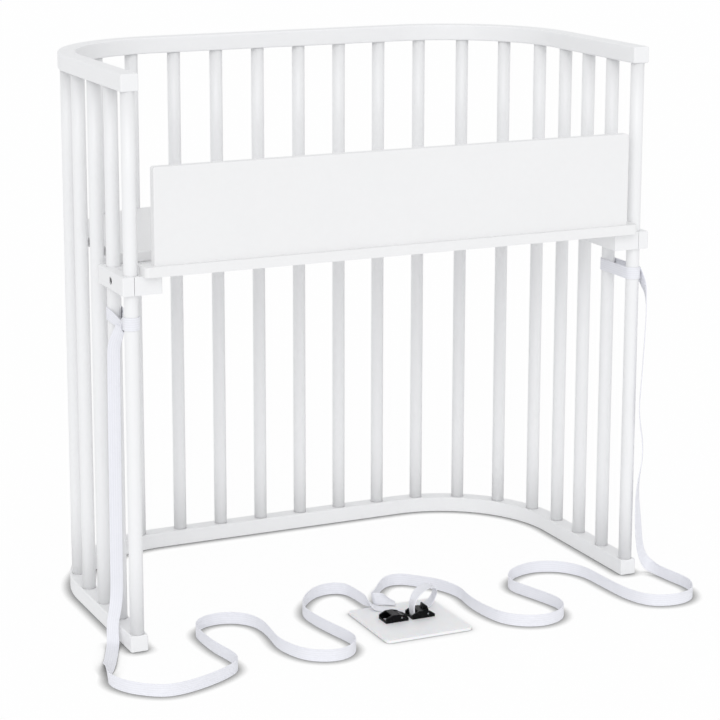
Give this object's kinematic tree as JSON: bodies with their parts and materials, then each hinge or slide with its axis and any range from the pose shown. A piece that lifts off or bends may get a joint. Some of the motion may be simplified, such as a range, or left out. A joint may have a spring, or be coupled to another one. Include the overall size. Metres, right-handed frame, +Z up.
{
  "type": "bedside sleeper crib",
  "caption": "Free-standing U-shaped slatted crib, open at the front, with a bed board on clamps, a low front panel, and loose webbing straps to an anchor plate.",
  "frame": {"origin": "on the floor under the middle of the crib, without its loose straps", "axes": "+X to the right along the crib's length, +Y from the open front to the back, +Z up"},
  "size_m": [1.0214, 0.687, 0.9],
  "materials": {
    "white_lacquer": "solid wood under satin white lacquer",
    "white_board": "fibreboard under satin white lacquer",
    "beech": "bare ribbed dowel",
    "webbing": "white woven narrow webbing",
    "plate_plastic": "milky sheet plastic, satin",
    "black_plastic": "black moulded plastic",
    "pin_steel": "bright steel pin",
    "dark_steel": "blackened socket-head bolt",
    "zinc_steel": "zinc-plated"
  },
  "bodies": {
    "root": {"top_rail_left_bend": "white_lacquer", "top_rail_back": "white_lacquer", "top_rail_right_bend": "white_lacquer", "bottom_rail_left_bend": "white_lacquer", "bottom_rail_back": "white_lacquer", "bottom_rail_right_bend": "white_lacquer", "front_post_left": "white_lacquer", "front_post_right": "white_lacquer", "slat_01": "white_lacquer", "slat_02": "white_lacquer", "slat_03": "white_lacquer", "slat_04": "white_lacquer", "slat_05": "white_lacquer", "slat_06": "white_lacquer", "slat_07": "white_lacquer", "slat_08": "white_lacquer", "slat_09": "white_lacquer", "slat_10": "white_lacquer", "slat_11": "white_lacquer", "slat_12": "white_lacquer", "slat_13": "white_lacquer", "slat_14": "white_lacquer", "slat_15": "white_lacquer", "slat_16": "white_lacquer", "slat_17": "white_lacquer", "slat_18": "white_lacquer", "slat_19": "white_lacquer", "slat_20": "white_lacquer", "rail_joint_dowels": "beech", "strap_loop_left": "webbing", "strap_loop_right": "webbing", "strap_left": "webbing", "strap_right": "webbing", "buckle_loop_right": "webbing", "anchor_plate": "plate_plastic", "buckle_left_frame": "black_plastic", "buckle_right_frame": "black_plastic", "buckle_pins": "pin_steel"},
    "bed": {"bed_board": "white_board", "cross_beam": "white_lacquer", "beam_dowels": "beech", "front_clamp_inner_left": "white_lacquer", "front_clamp_inner_right": "white_lacquer", "front_clamp_outer_left": "white_lacquer", "front_clamp_outer_right": "white_lacquer", "rear_clamp_inner_left": "white_lacquer", "rear_clamp_inner_right": "white_lacquer", "rear_clamp_outer_left": "white_lacquer", "rear_clamp_outer_right": "white_lacquer", "clamp_bolts": "dark_steel", "clamp_nuts": "zinc_steel", "board_screws": "zinc_steel", "ledge_board": "white_board", "ledge_screws": "zinc_steel", "front_panel": "white_board", "panel_screws": "zinc_steel"},
    "left_lever": {"buckle_left_lever": "black_plastic"},
    "right_lever": {"buckle_right_lever": "black_plastic"}
  },
  "joints": [
    {"name": "bed_height", "type": "slide", "parent": "root", "child": "bed", "axis": [0, 0, 1], "range_m": [-0.02, 0.25]},
    {"name": "left_buckle_lever", "type": "hinge", "parent": "root", "child": "left_lever", "pos_m": [-0.016, -0.28075, 0.0109], "axis": [0, -1, 0], "range_deg": [0, 100]},
    {"name": "right_buckle_lever", "type": "hinge", "parent": "root", "child": "right_lever", "pos_m": [0.031, -0.28075, 0.0109], "axis": [0, -1, 0], "range_deg": [-100, 0]}
  ]
}
